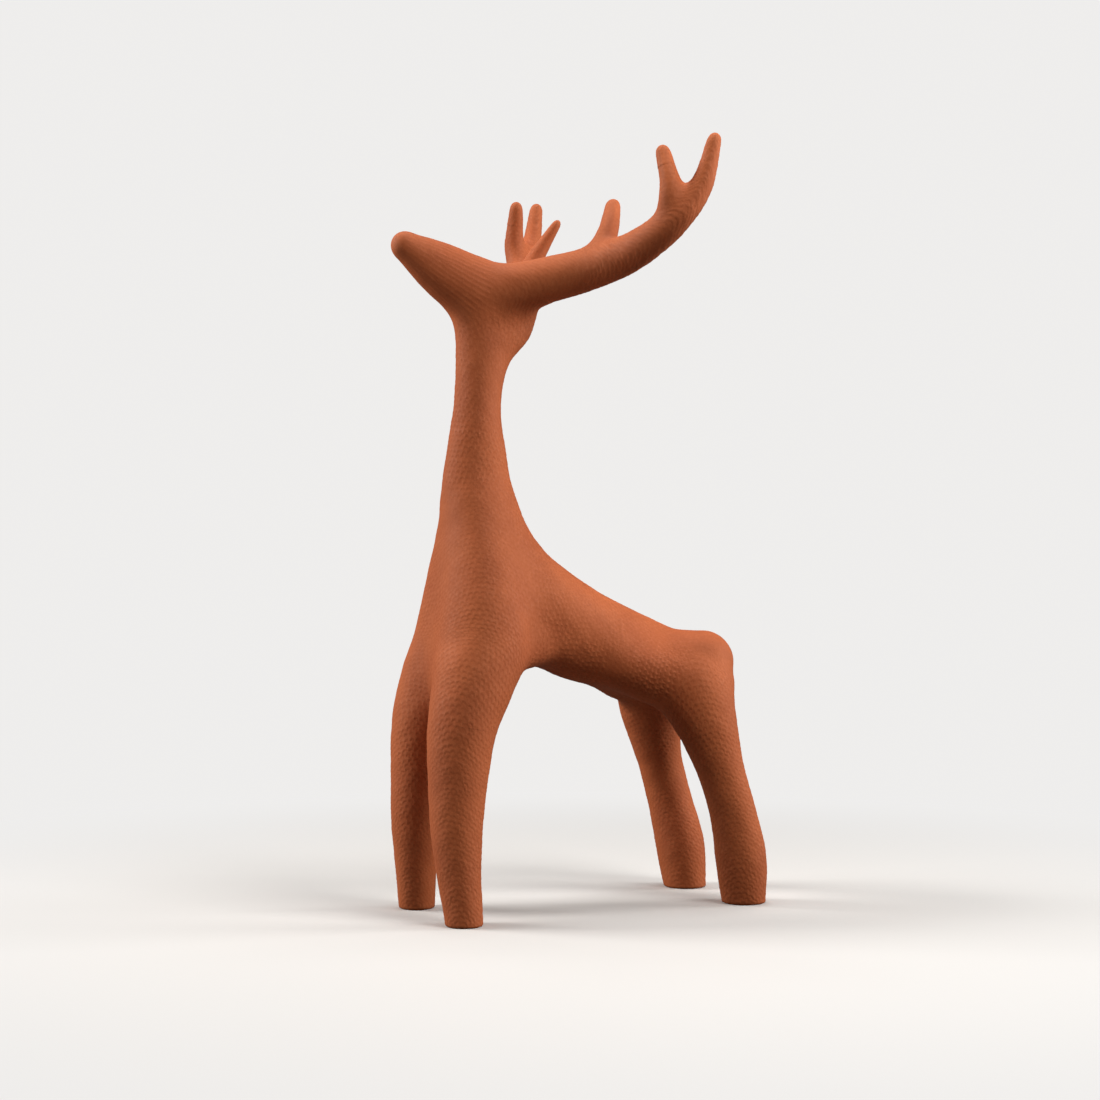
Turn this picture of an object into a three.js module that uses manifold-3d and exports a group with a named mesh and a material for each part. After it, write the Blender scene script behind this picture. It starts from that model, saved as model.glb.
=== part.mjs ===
// A standing terracotta deer with branching antlers, built as a potter builds it: thirteen clay members,
// each formed by itself, cut square at its root and set on its neighbour with a tenon in a socket.
// Millimetres. +Z is up, the deer faces -Y and its left side is +X. The origin is on the ground, under the
// middle of the figure's bounding box.

import * as THREE from "three";
import { mergeVertices } from "three/addons/utils/BufferGeometryUtils.js";
import Module from "manifold-3d";

const wasm = await Module();
wasm.setup();

// Stance
const WHEELBASE = 125; // front feet to hind feet, sole centre to sole centre
const TRACK = 47; // left feet to right feet, sole centre to sole centre
const SOLE_STOCK = 6; // clay below the ground line, before the soles are cut flat

// Heights above the ground
const BACK_HEIGHT = 110; // top of the back just before the hips
const CHEST_HEIGHT = 112; // where the neck and the barrel run together
const FRONT_JOINT_HEIGHT = 74; // joint of a front leg
const HIND_JOINT_HEIGHT = 70; // joint of a hind leg
const SKULL_HEIGHT = 244; // where muzzle and antlers part

// Heights measured from the skull
const THROAT_DROP = 44; // narrowest place of the neck, below the skull
const MUZZLE_RISE = 17.4; // muzzle's round end, above the skull
const ANTLER_RISE = 53; // beam's round tip
const BROW_TINE_RISE = 35.2; // brow tine's round tip
const FORK_TINE_RISE = 49.2; // fork tine's round tip

// Reach in plan
const MUZZLE_REACH = 33; // skull to the muzzle's round end
const ANTLER_SPREAD = 153; // beam tip to beam tip
const ANTLER_SWEEP = 61.2; // skull back to the beam tips
const BROW_TINE_BOW = 2.6; // how far a tine bows outward between its root and its tip
const FORK_TINE_BOW = 4.7;

// Radii
const FRONT_SOLE_RADIUS = 7.2;
const FRONT_KNEE_RADIUS = 10.8;
const HIND_SOLE_RADIUS = 9;
const HEEL_RADIUS = 10.5;
const HIP_RADIUS = 12.4;
const RUMP_DOME = 0.6; // depth of the rump's rounding against its radius
const BARREL_RADIUS = 15;
const CHEST_RADIUS = 17.8; // rounding of each side of the chest above its leg
const CHEST_DEPTH = 20; // half depth of the trunk where it bends up into the neck
const THROAT_RADIUS = 9.2;
const MUZZLE_RADIUS = 5.8;
const BEAM_ROOT_RADIUS = 9.4;
const BEAM_FORK_RADIUS = 5.9;
const TIP_RADIUS = 2.9; // round tips of beams and tines

// Joints between the members
const JOINT_GAP = 0.3; // slip line between the two faces of a joint
const JOINT_REACH = 1.22; // a joint's cut against the section that it crosses
const TRUNK_JOINT_REACH = 1.7; // the same on the neck, whose front is thickened by the chest
const SOCKET_CLEARANCE = 0.3; // round a tenon and beyond its end
const TENON_SHARE = 0.45; // tenon radius against the section's smaller half width
const TENON_TAPER = 0.85; // a tenon's end against its root
const TENON_ROOT = 1.5; // how deep a tenon starts inside its own member
const LEG_TENON = 12;
const NECK_TENON = 14;
const HEAD_TENON = 11;
const ANTLER_TENON = 8;
const TINE_TENON = 5;

// Fineness of the faceted solids
const BODY_SIDES = 24;
const LIMB_SIDES = 18;
const TINE_SIDES = 12;
const BODY_STEP = 8; // ring spacing along the large members
const LIMB_STEP = 6.5;
const TINE_STEP = 3.5;
const DOME_RINGS = 3; // rings that close a round tip

const HALF_TRACK = TRACK / 2;
const FRONT_Y = -WHEELBASE / 2;
const HIND_Y = WHEELBASE / 2;
const NECK_Y = FRONT_Y + 0.12 * WHEELBASE; // the neck stands just behind the front feet
const SKULL_Y = FRONT_Y + 0.144 * WHEELBASE;
const NECK_RISE = SKULL_HEIGHT - THROAT_DROP - CHEST_HEIGHT;
const HALF_SPREAD = ANTLER_SPREAD / 2;

// A member follows a smooth line of stations. A station has a place and a half width and half depth across
// the line; r stands for both where the section is round.
function memberLine(stations, across, sides, step) {
  const places = stations.map((s) => new THREE.Vector3(s.x ?? 0, s.y, s.z));
  const sizes = stations.map((s) => new THREE.Vector3(s.wide ?? s.r, s.deep ?? s.r, 0));
  const place = new THREE.CatmullRomCurve3(places, false, "catmullrom", 0.5);
  const size = new THREE.CatmullRomCurve3(sizes, false, "catmullrom", 0.5);
  const rings = Math.ceil(place.getLength() / step);
  return { place, size, across, sides, rings, lastStation: stations.length - 1 };
}

// Point, direction, section axes and section sizes at a share t of the line, counted by stations.
function frameAt(line, t) {
  const at = line.place.getPoint(t);
  const along = line.place.getTangent(t);
  const wideAxis = line.across.clone().projectOnPlane(along).normalize();
  const deepAxis = new THREE.Vector3().crossVectors(along, wideAxis);
  const size = line.size.getPoint(t);
  return { at, along, wideAxis, deepAxis, wide: size.x, deep: size.y };
}

// One ring of points round a frame, moved along it and drawn in or out by a scale.
function ringAt(frame, sides, shift, scale) {
  const ring = [];
  for (let k = 0; k < sides; k++) {
    const angle = (2 * Math.PI * k) / sides;
    const point = frame.at.clone().addScaledVector(frame.along, shift);
    point.addScaledVector(frame.wideAxis, frame.wide * scale * Math.cos(angle));
    point.addScaledVector(frame.deepAxis, frame.deep * scale * Math.sin(angle));
    ring.push(point);
  }
  return ring;
}

// Closed skin over rings with equal numbers of points; first and last are the middles of its ends.
function skinOver(rings, first, last) {
  const sides = rings[0].length;
  const points = [first, ...rings.flat(), last];
  const end = points.length - 1;
  const at = (ring, k) => 1 + ring * sides + (k % sides);
  const faces = [];
  for (let k = 0; k < sides; k++) {
    faces.push(0, at(0, k + 1), at(0, k));
    faces.push(end, at(rings.length - 1, k), at(rings.length - 1, k + 1));
    for (let i = 0; i < rings.length - 1; i++) {
      faces.push(at(i, k), at(i, k + 1), at(i + 1, k + 1));
      faces.push(at(i, k), at(i + 1, k + 1), at(i + 1, k));
    }
  }
  const geometry = new THREE.BufferGeometry().setFromPoints(points);
  geometry.setIndex(faces);
  return geometry;
}

// Turns a closed geometry into a solid that can be joined and cut.
function solidOf(geometry) {
  const bare = geometry.clone();
  bare.deleteAttribute("normal");
  bare.deleteAttribute("uv");
  const merged = mergeVertices(bare, 1e-4);
  const mesh = new wasm.Mesh({
    numProp: 3,
    vertProperties: new Float32Array(merged.attributes.position.array),
    triVerts: new Uint32Array(merged.index.array),
  });
  return new wasm.Manifold(mesh);
}

// Rings that close a round end. way is 1 at a line's end and -1 at its start; share is the dome's depth
// against the end's radius.
function domeRings(frame, sides, way, share) {
  const depth = share * Math.min(frame.wide, frame.deep);
  const rings = [];
  for (let i = 1; i <= DOME_RINGS; i++) {
    const angle = (i / (DOME_RINGS + 1)) * (Math.PI / 2);
    rings.push(ringAt(frame, sides, way * depth * Math.sin(angle), Math.cos(angle)));
  }
  return { rings, middle: frame.at.clone().addScaledVector(frame.along, way * depth) };
}

// The whole clay of one member: rings along its line, and each end flat or round.
function clayOf({ line, roundStart, roundEnd }) {
  const rings = [];
  for (let i = 0; i <= line.rings; i++) {
    const t = line.place.getUtoTmapping(i / line.rings);
    rings.push(ringAt(frameAt(line, t), line.sides, 0, 1));
  }
  let first = line.place.getPoint(0);
  let last = line.place.getPoint(1);
  if (roundStart) {
    const dome = domeRings(frameAt(line, 0), line.sides, -1, roundStart);
    rings.unshift(...dome.rings.reverse());
    first = dome.middle;
  }
  if (roundEnd) {
    const dome = domeRings(frameAt(line, 1), line.sides, 1, roundEnd);
    rings.push(...dome.rings);
    last = dome.middle;
  }
  return solidOf(skinOver(rings, first, last));
}

// A thin slice across a member, a little larger than its section: the slip line of a joint.
function jointCut(frame, reach) {
  const faces = [-JOINT_GAP / 2, JOINT_GAP / 2];
  const rings = faces.map((shift) => ringAt(frame, LIMB_SIDES, shift, reach));
  const middles = faces.map((shift) => frame.at.clone().addScaledVector(frame.along, shift));
  return solidOf(skinOver(rings, ...middles));
}

// A tapered round peg across a joint. way is 1 where it points along the line and -1 against it.
function peg(frame, way, length, clearance) {
  const radius = TENON_SHARE * Math.min(frame.wide, frame.deep) + clearance;
  const stub = { ...frame, along: frame.along.clone().multiplyScalar(way), wide: radius, deep: radius };
  stub.deepAxis = new THREE.Vector3().crossVectors(stub.along, stub.wideAxis);
  const reach = JOINT_GAP / 2 + length + clearance;
  const root = -JOINT_GAP / 2 - TENON_ROOT;
  const rings = [ringAt(stub, TINE_SIDES, root, 1), ringAt(stub, TINE_SIDES, reach, TENON_TAPER)];
  const middle = (shift) => stub.at.clone().addScaledVector(stub.along, shift);
  return solidOf(skinOver(rings, middle(root), middle(reach)));
}

const ACROSS = new THREE.Vector3(1, 0, 0);

// The stations below are shares of the named sizes, so each line keeps its bends when a size changes.
// A place on the barrel: how far ahead of the hind feet, how far below the back, half width, half depth.
function onBarrel(ahead, drop, wide, deep) {
  return {
    y: HIND_Y - ahead * WHEELBASE,
    z: BACK_HEIGHT - drop * BARREL_RADIUS,
    wide: wide * BARREL_RADIUS,
    deep: deep * BARREL_RADIUS,
  };
}

// A place in the chest or the foot of the neck, up by a share of the way from the chest to the throat.
function onChest(ahead, up, wide, deep) {
  return {
    y: HIND_Y - ahead * WHEELBASE,
    z: CHEST_HEIGHT + up * NECK_RISE,
    wide: wide * BARREL_RADIUS,
    deep: deep * CHEST_DEPTH,
  };
}

// A place on the upper neck, down from the skull by a share of the throat's drop.
function onNeck(back, down, wide, deep) {
  return {
    y: NECK_Y + back * THROAT_RADIUS,
    z: SKULL_HEIGHT - down * THROAT_DROP,
    wide: wide * THROAT_RADIUS,
    deep: deep * THROAT_RADIUS,
  };
}

// The trunk is one bent roll: along the barrel from the rump, then up through chest and throat to the nape.
const trunkLine = memberLine(
  [
    onBarrel(0.052, 0.787, 1.2, 0.787),
    onBarrel(0.112, 0.787, 1.3, 0.813),
    onBarrel(0.24, 0.7, 1.133, 0.967),
    onBarrel(0.4, 0.233, 1.1, 1.047),
    onChest(0.552, 0, 1.167, 0.95),
    onChest(0.704, 0.136, 1.2, 0.98),
    onChest(0.8, 0.352, 1.033, 0.87),
    onChest(0.868, 0.568, 0.833, 0.775),
    onNeck(0.02, 1.477, 1.13, 1.304),
    onNeck(0.076, 1, 1, 1),
    onNeck(0.315, 0.568, 1, 1.152),
    onNeck(0.739, 0.25, 1.109, 1.783),
    onNeck(0.978, 0.045, 1, 1.978),
  ],
  ACROSS,
  BODY_SIDES,
  BODY_STEP,
);

// The muzzle points forward and up from the skull to a round end.
function onMuzzle(out, wide, deep) {
  return {
    y: SKULL_Y - out * MUZZLE_REACH,
    z: SKULL_HEIGHT + out * MUZZLE_RISE,
    wide: wide * MUZZLE_RADIUS,
    deep: deep * MUZZLE_RADIUS,
  };
}

const muzzleLine = memberLine(
  [
    onMuzzle(-0.18, 1.9, 1.9),
    onMuzzle(0.07, 2.155, 2.379),
    onMuzzle(0.345, 1.81, 2.086),
    onMuzzle(0.68, 1.414, 1.638),
    onMuzzle(1, 1, 1),
  ],
  ACROSS,
  BODY_SIDES,
  LIMB_STEP,
);

// A place on a limb: out by a share of half the track, behind a foot by a share of the wheelbase.
function onLimb(side, out, footY, back, z, r) {
  return { x: side * out * HALF_TRACK, y: footY + back * WHEELBASE, z, r };
}

// Legs run from a flat sole up into the body. side is 1 on the left and -1 on the right.
function frontLegLine(side) {
  const place = (out, back, z, r) => onLimb(side, out, FRONT_Y, back, z, r);
  const shoulder = CHEST_HEIGHT - FRONT_JOINT_HEIGHT;
  return memberLine(
    [
      place(1.034, 0.004, -SOLE_STOCK, 0.944 * FRONT_SOLE_RADIUS),
      place(1, 0, 0, FRONT_SOLE_RADIUS),
      place(0.906, -0.011, 0.297 * FRONT_JOINT_HEIGHT, 0.815 * FRONT_KNEE_RADIUS),
      place(0.83, -0.012, 0.608 * FRONT_JOINT_HEIGHT, FRONT_KNEE_RADIUS),
      place(0.779, 0.01, FRONT_JOINT_HEIGHT, 1.241 * FRONT_KNEE_RADIUS),
      place(0.672, 0.056, FRONT_JOINT_HEIGHT + 0.474 * shoulder, 0.9 * CHEST_RADIUS),
      place(0.511, 0.101, FRONT_JOINT_HEIGHT + 0.842 * shoulder, CHEST_RADIUS),
      place(0.383, 0.116, CHEST_HEIGHT + 0.125 * NECK_RISE, 0.955 * CHEST_RADIUS),
      place(0.191, 0.123, CHEST_HEIGHT + 0.398 * NECK_RISE, 0.82 * CHEST_RADIUS),
      place(0.106, 0.118, CHEST_HEIGHT + 0.568 * NECK_RISE, 0.663 * CHEST_RADIUS),
    ],
    ACROSS,
    LIMB_SIDES,
    LIMB_STEP,
  );
}

// A place between the hind joint and the back, up by a share of the way.
function onHip(side, out, back, up, r) {
  const z = HIND_JOINT_HEIGHT + up * (BACK_HEIGHT - HIND_JOINT_HEIGHT);
  return onLimb(side, out, HIND_Y, back, z, r * HIP_RADIUS);
}

function hindLegLine(side) {
  const place = (out, back, z, r) => onLimb(side, out, HIND_Y, back, z, r);
  return memberLine(
    [
      place(0.979, 0.004, -SOLE_STOCK, 0.933 * HIND_SOLE_RADIUS),
      place(1, 0, 0, HIND_SOLE_RADIUS),
      place(1.047, -0.018, 0.257 * HIND_JOINT_HEIGHT, HEEL_RADIUS),
      place(1.089, -0.056, 0.543 * HIND_JOINT_HEIGHT, 0.905 * HEEL_RADIUS),
      place(1.064, -0.092, 0.771 * HIND_JOINT_HEIGHT, 0.867 * HEEL_RADIUS),
      place(0.979, -0.126, HIND_JOINT_HEIGHT, 1.076 * HEEL_RADIUS),
      onHip(side, 0.872, -0.152, 0.25, 1.161),
      onHip(side, 0.766, -0.152, 0.5, 1.161),
      onHip(side, 0.702, -0.136, 0.7, 0.96),
    ],
    ACROSS,
    LIMB_SIDES,
    LIMB_STEP,
  );
}

// A haunch runs forward from each hip and sinks into the barrel, and a roll across the rump joins the hips.
function haunchLine(side) {
  const places = [
    onHip(side, 0.66, -0.118, 0.72, 0.985),
    onHip(side, 0.511, -0.248, 0.6, 1.03),
    onHip(side, 0.34, -0.39, 0.76, 0.927),
  ];
  return memberLine(places, new THREE.Vector3(0, 0, 1), LIMB_SIDES, LIMB_STEP);
}

const hipRollLine = memberLine(
  [
    onHip(1, 0.66, -0.118, 0.72, 0.985),
    onHip(1, 0, -0.092, 0.7, 1.065),
    onHip(-1, 0.66, -0.118, 0.72, 0.985),
  ],
  new THREE.Vector3(0, 0, 1),
  LIMB_SIDES,
  LIMB_STEP,
);

// A place on an antler: shares of half the spread, of the sweep and of a height above the skull.
function onAntler(side, out, back, height, r) {
  return { x: side * out * HALF_SPREAD, y: SKULL_Y + back * ANTLER_SWEEP, z: SKULL_HEIGHT + height, r };
}

// An antler beam sweeps out, back and up from the skull to a round tip.
function beamLine(side) {
  const place = (out, back, up, r) => onAntler(side, out, back, up * ANTLER_RISE, r);
  return memberLine(
    [
      place(0.026, 0.041, 0, 1.16 * BEAM_ROOT_RADIUS),
      place(0.19, 0.291, 0.085, BEAM_ROOT_RADIUS),
      place(0.359, 0.507, 0.16, 0.915 * BEAM_ROOT_RADIUS),
      place(0.542, 0.637, 0.226, 0.83 * BEAM_ROOT_RADIUS),
      place(0.725, 0.714, 0.308, 1.136 * BEAM_FORK_RADIUS),
      place(0.876, 0.809, 0.453, BEAM_FORK_RADIUS),
      place(0.957, 0.931, 0.679, 1.448 * TIP_RADIUS),
      place(1, 1, 1, TIP_RADIUS),
    ],
    new THREE.Vector3(-0.6 * side, 0.75, 0),
    LIMB_SIDES,
    LIMB_STEP,
  );
}

// A tine runs from inside the beam to its tip and bows outward on the way.
function tineLine(side, root, tip, bow, middleRadius) {
  const middle = {
    x: (root.x + tip.x) / 2 + side * bow,
    y: (root.y + tip.y) / 2,
    z: (root.z + tip.z) / 2,
    r: middleRadius,
  };
  return memberLine([root, middle, tip], ACROSS, TINE_SIDES, TINE_STEP);
}

function browTineLine(side) {
  const root = onAntler(side, 0.425, 0.515, 0.189 * ANTLER_RISE, 2.1 * TIP_RADIUS);
  const tip = onAntler(side, 0.337, 0.735, BROW_TINE_RISE, 1.1 * TIP_RADIUS);
  return tineLine(side, root, tip, BROW_TINE_BOW, 1.62 * TIP_RADIUS);
}

function forkTineLine(side) {
  const root = onAntler(side, 0.824, 0.778, 0.358 * ANTLER_RISE, BEAM_FORK_RADIUS);
  const tip = onAntler(side, 0.841, 0.748, FORK_TINE_RISE, TIP_RADIUS);
  return tineLine(side, root, tip, FORK_TINE_BOW, 1.517 * TIP_RADIUS);
}

// Every member: its line, how round its ends are, a station that is surely inside it, and the joint at its
// root. A joint names the member that carries this one, the station where it lies, and the tenon's way along
// the line and its length.
const members = {
  torso: { line: trunkLine, roundStart: RUMP_DOME, inside: 2 },
  neck: {
    line: trunkLine,
    inside: 9,
    joint: { on: "torso", station: 7, reach: TRUNK_JOINT_REACH, way: -1, tenon: NECK_TENON },
  },
  head: {
    line: muzzleLine,
    roundEnd: 1,
    inside: 2,
    joint: { on: "neck", line: trunkLine, station: 10, way: -1, tenon: HEAD_TENON },
  },
};
for (const [name, side] of Object.entries({ left: 1, right: -1 })) {
  members[`front_${name}_leg`] = {
    line: frontLegLine(side),
    roundEnd: 1,
    inside: 3,
    joint: { on: "torso", station: 4, way: 1, tenon: LEG_TENON },
  };
  members[`hind_${name}_leg`] = {
    line: hindLegLine(side),
    roundEnd: 1,
    inside: 3,
    joint: { on: "torso", station: 5, way: 1, tenon: LEG_TENON },
  };
  members[`${name}_antler_beam`] = {
    line: beamLine(side),
    roundEnd: 1,
    inside: 3,
    joint: { on: "head", station: 1.15, way: -1, tenon: ANTLER_TENON },
  };
  members[`${name}_brow_tine`] = {
    line: browTineLine(side),
    roundEnd: 1,
    inside: 1.8,
    joint: { on: `${name}_antler_beam`, station: 1, way: -1, tenon: TINE_TENON },
  };
  members[`${name}_fork_tine`] = {
    line: forkTineLine(side),
    roundEnd: 1,
    inside: 1.8,
    joint: { on: `${name}_antler_beam`, station: 1.2, way: -1, tenon: TINE_TENON },
  };
}

// The members run into each other as wet clay does, and the soles are cut flat on the ground.
let figure = clayOf(members.torso);
for (const line of [haunchLine(1), haunchLine(-1), hipRollLine]) {
  figure = figure.add(clayOf({ line, roundStart: 1, roundEnd: 1 }));
}
for (const member of Object.values(members)) {
  if (member.line !== trunkLine) figure = figure.add(clayOf(member));
}
const ground = new THREE.BoxGeometry(2 * WHEELBASE, 2 * WHEELBASE, 4 * SOLE_STOCK);
ground.translate(0, 0, -2 * SOLE_STOCK);
figure = figure.subtract(solidOf(ground));

// Then each joint's slip line parts them again.
const joints = [];
for (const [name, { line, joint }] of Object.entries(members)) {
  if (joint) {
    const along = joint.line ?? line;
    const frame = frameAt(along, joint.station / along.lastStation);
    figure = figure.subtract(jointCut(frame, joint.reach ?? JOINT_REACH));
    joints.push({ ...joint, frame, name });
  }
}

// A parted body belongs to the member whose inside station lies in it.
const bodies = figure.decompose();
const solids = {};
for (const [name, { line, inside }] of Object.entries(members)) {
  const middle = line.place.getPoint(inside / line.lastStation);
  const probe = solidOf(new THREE.OctahedronGeometry(TIP_RADIUS / 4).translate(...middle));
  solids[name] = bodies.find((body) => body.intersect(probe).volume() > 0);
}

// Each member gets the tenon at its root, and the member that carries it gets the socket.
for (const { name, on, frame, way, tenon } of joints) {
  solids[name] = solids[name].add(peg(frame, way, tenon, 0));
  solids[on] = solids[on].subtract(peg(frame, way, tenon, SOCKET_CLEARANCE));
}

function geometryOf(solid) {
  const mesh = solid.getMesh();
  const geometry = new THREE.BufferGeometry();
  geometry.setAttribute("position", new THREE.BufferAttribute(mesh.vertProperties, 3));
  geometry.setIndex(new THREE.BufferAttribute(mesh.triVerts, 1));
  geometry.computeVertexNormals();
  return geometry;
}

const deer = new THREE.Group();
for (const [name, solid] of Object.entries(solids)) {
  const terracotta = new THREE.MeshStandardMaterial({ color: 0xb5623d, roughness: 0.85, metalness: 0 });
  const mesh = new THREE.Mesh(geometryOf(solid), terracotta);
  mesh.name = name;
  deer.add(mesh);
}

// The origin lies under the middle of the bounding box.
const box = new THREE.Box3().setFromObject(deer);
deer.position.y = -(box.min.y + box.max.y) / 2;

export default deer;
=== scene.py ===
import math

import bmesh
import bpy
import numpy as np
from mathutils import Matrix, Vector


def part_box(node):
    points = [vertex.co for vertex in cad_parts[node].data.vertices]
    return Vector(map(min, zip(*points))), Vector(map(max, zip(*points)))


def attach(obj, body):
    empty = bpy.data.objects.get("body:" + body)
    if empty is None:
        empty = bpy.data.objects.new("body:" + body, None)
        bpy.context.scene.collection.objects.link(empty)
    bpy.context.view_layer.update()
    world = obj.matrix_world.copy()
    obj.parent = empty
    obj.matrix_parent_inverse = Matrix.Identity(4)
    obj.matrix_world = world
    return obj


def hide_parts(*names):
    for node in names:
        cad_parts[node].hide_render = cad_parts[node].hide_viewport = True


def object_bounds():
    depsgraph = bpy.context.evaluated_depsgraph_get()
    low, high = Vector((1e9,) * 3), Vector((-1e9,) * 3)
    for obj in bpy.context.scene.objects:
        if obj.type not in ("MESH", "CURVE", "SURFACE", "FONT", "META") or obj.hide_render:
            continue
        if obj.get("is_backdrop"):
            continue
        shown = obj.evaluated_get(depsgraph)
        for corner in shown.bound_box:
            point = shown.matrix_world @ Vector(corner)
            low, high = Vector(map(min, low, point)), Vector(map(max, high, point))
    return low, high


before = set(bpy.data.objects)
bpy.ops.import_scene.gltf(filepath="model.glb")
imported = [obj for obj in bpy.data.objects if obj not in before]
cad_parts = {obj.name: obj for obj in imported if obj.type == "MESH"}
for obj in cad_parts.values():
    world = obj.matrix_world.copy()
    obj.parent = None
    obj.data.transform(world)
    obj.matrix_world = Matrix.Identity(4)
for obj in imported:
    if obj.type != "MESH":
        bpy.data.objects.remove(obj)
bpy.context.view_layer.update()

# Torso: one bent roll of terracotta from the rump along the barrel and up into the chest. Shoulders, haunches
# and hips are laid on it and smoothed over with a wet thumb, and a small round tool leaves rows of shallow
# scale-like marks on the whole. The neck and the four legs are luted to it.

MM = 0.001
FEET_TO_FRAME = 5.953  # the drawing's zero lies between the feet, the frame's under the whole figure, mm
BETWEEN = 60  # points worked out between two stations of a line of clay
BEAD = 1.0  # spacing of the points along a line of clay, mm
NEAR = 10.0  # how far outside a roll of clay its distance is still worked out, mm
FAR = 4 * NEAR  # the distance put down where no roll is near, mm
PINCH = 0.8  # spacing of the grid on which the rolls are joined, mm
THUMB = 2.0  # how far a wet thumb rounds over a crease, mm
FULL_FILLET = 1.4  # makes the fillet full where two skins meet at a right angle or a sharper one
TINY = 1e-6  # keeps a division from one by nothing


def clay_line(stations, across, soft, marks, dome=1.0):
    """A roll of clay. Its stations are x, y, z, half width and half depth in mm, joined by one smooth line.
    It is joined to the rolls before it with a fillet of the size soft, and tooled with marks. The dome is
    how far its ends bulge, as a share of its thickness."""
    table = np.array([s if len(s) == 5 else (*s, s[3]) for s in stations], float)
    table[:, 1] += FEET_TO_FRAME
    table = np.vstack([2 * table[0] - table[1], table, 2 * table[-1] - table[-2]])
    t = np.linspace(0, 1, BETWEEN, endpoint=False)[:, None]
    parts = []
    for a, b, c, d in zip(table, table[1:], table[2:], table[3:]):
        slope_b, slope_c = (c - a) / 2, (d - b) / 2
        parts.append(b + slope_b * t + (3 * (c - b) - 2 * slope_b - slope_c) * t**2
                     + (2 * (b - c) + slope_b + slope_c) * t**3)
    dense = np.vstack([*parts, table[-2:-1]])
    dense = np.column_stack([dense, np.arange(len(dense)) / BETWEEN])
    run = np.concatenate([[0], np.cumsum(np.linalg.norm(np.diff(dense[:, :3], axis=0), axis=1))])
    even = np.linspace(0, run[-1], max(4, int(round(run[-1] / BEAD)) + 1))
    table = np.stack([np.interp(even, run, column) for column in dense.T], 1)
    at = table[:, :3]
    along = np.gradient(at, even, axis=0)
    along /= np.linalg.norm(along, axis=1)[:, None]
    wide_way = np.array(across, float) - along * (along @ np.array(across, float))[:, None]
    wide_way /= np.linalg.norm(wide_way, axis=1)[:, None]
    return {"at": at, "along": along, "wide_way": wide_way, "deep_way": np.cross(along, wide_way),
            "wide": table[:, 3], "deep": table[:, 4], "station": table[:, 5], "step": even[1], "dome": dome,
            "soft": soft, "marks": marks}


def beside_line(line, points, nearest):
    """Distance of points to a roll's skin and their way along the roll, in mm, and their angle round it."""
    last = len(line["at"]) - 1
    share = nearest.astype(float)
    for _ in range(2):
        share = np.clip(share, 0, last)
        low = np.minimum(share.astype(int), last - 1)
        mix = (share - low)[:, None]
        at, along, wide_way, deep_way = (line[k][low] * (1 - mix) + line[k][low + 1] * mix
                                         for k in ("at", "along", "wide_way", "deep_way"))
        off = points - at
        beyond = np.einsum("ij,ij->i", off, along)
        share += beyond / line["step"]
    mix = mix[:, 0]
    wide = line["wide"][low] * (1 - mix) + line["wide"][low + 1] * mix
    deep = line["deep"][low] * (1 - mix) + line["deep"][low + 1] * mix
    a, b = np.einsum("ij,ij->i", off, wide_way), np.einsum("ij,ij->i", off, deep_way)
    share = np.clip(share, 0, last)
    c = np.where((share <= 0) | (share >= last), beyond, 0)
    cap = line["dome"] * np.minimum(wide, deep)
    size = np.sqrt((a / wide) ** 2 + (b / deep) ** 2 + (c / cap) ** 2)
    slope = np.sqrt((a / wide**2) ** 2 + (b / deep**2) ** 2 + (c / cap**2) ** 2)
    over_end = cap * np.arcsin(np.clip(c / cap, -1, 1))  # the way over the roll's rounded end
    distance = size * (size - 1) / np.maximum(slope, TINY)
    return distance, share * line["step"] + over_end, np.arctan2(b / deep, a / wide)


def clay_block(lines, low, high):
    """The distance to the joined clay on a grid of points between two corners, in mm. Every block's points
    lie on one lattice, so that two members meet exactly at their joint."""
    axes = [np.arange(math.floor(a / PINCH), math.ceil(b / PINCH) + 1) * PINCH for a, b in zip(low, high)]
    clay = np.full([len(a) for a in axes], FAR, np.float32)
    for line in lines:
        widest = np.maximum(line["wide"], line["deep"]) + NEAR
        first = [np.searchsorted(a, (line["at"][:, i] - widest).min()) for i, a in enumerate(axes)]
        end = [np.searchsorted(a, (line["at"][:, i] + widest).max()) for i, a in enumerate(axes)]
        if any(e - f < 3 for f, e in zip(first, end)):
            continue
        x, y, z = (a[f:e] for a, f, e in zip(axes, first, end))
        square = np.full((len(x), len(y), len(z)), 1e6, np.float32)  # squared distance to the nearest bead
        nearest = np.full(square.shape, -1, np.int16)
        for bead in range(0, len(line["at"]), 2):
            (px, py, pz), r = line["at"][bead], widest[bead]
            i, j, k = (slice(*np.searchsorted(a, (p - r, p + r))) for a, p in ((x, px), (y, py), (z, pz)))
            new = ((x[i] - px) ** 2)[:, None, None] + ((y[j] - py) ** 2)[:, None] + (z[k] - pz) ** 2
            closer = new < square[i, j, k]
            square[i, j, k][closer] = new[closer]
            nearest[i, j, k][closer] = bead
        place = np.argwhere(nearest >= 0)
        found = nearest[tuple(place.T)]
        if not len(found):
            continue
        rough = np.sqrt(square[tuple(place.T)]) - widest[found] + NEAR
        close = rough > -NEAR
        points = np.stack([x[place[:, 0]], y[place[:, 1]], z[place[:, 2]]], 1)
        rough[close] = beside_line(line, points[close], found[close])[0]
        one = np.full(square.shape, FAR, np.float32)
        one[tuple(place.T)] = rough
        box = tuple(slice(f, e) for f, e in zip(first, end))
        clay[box] = thumb_over(clay[box], one, line["soft"])
    smooth = rub(clay)
    return axes, 2 * smooth - rub(smooth)  # rubbed, but not worn thinner


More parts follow.
